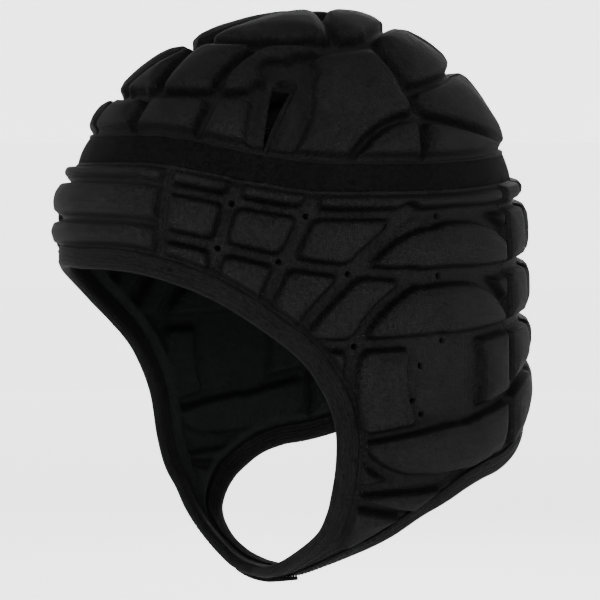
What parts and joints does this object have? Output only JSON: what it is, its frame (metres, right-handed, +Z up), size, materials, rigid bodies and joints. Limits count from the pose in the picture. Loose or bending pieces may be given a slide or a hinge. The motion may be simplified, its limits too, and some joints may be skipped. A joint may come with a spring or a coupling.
{
  "type": "rugby scrum cap",
  "caption": "Padded black rugby scrum cap with quilted foam panels, ear pads, a velvet band, bound edges and a strap closed under the chin.",
  "frame": {"origin": "inside of the crown's top, where the wearer's head touches it", "axes": "+Z up, +Y towards the back of the head, so the face opening looks along -Y; +X is the wearer's left"},
  "size_m": [0.1858, 0.2258, 0.2574],
  "materials": {
    "padded_fabric": "smooth black stretch knit over foam, with a low soft sheen",
    "velvet": "matt black loop pile, patchy where it is worn",
    "tape": "black woven binding tape with stitching"
  },
  "bodies": {
    "root": {"crown_panel": "padded_fabric", "crown_band": "velvet", "brow_panel": "padded_fabric", "side_panel_left": "padded_fabric", "side_panel_right": "padded_fabric", "nape_panel": "padded_fabric", "face_binding": "tape", "neck_binding": "tape", "chin_tab": "velvet"}
  },
  "joints": []
}
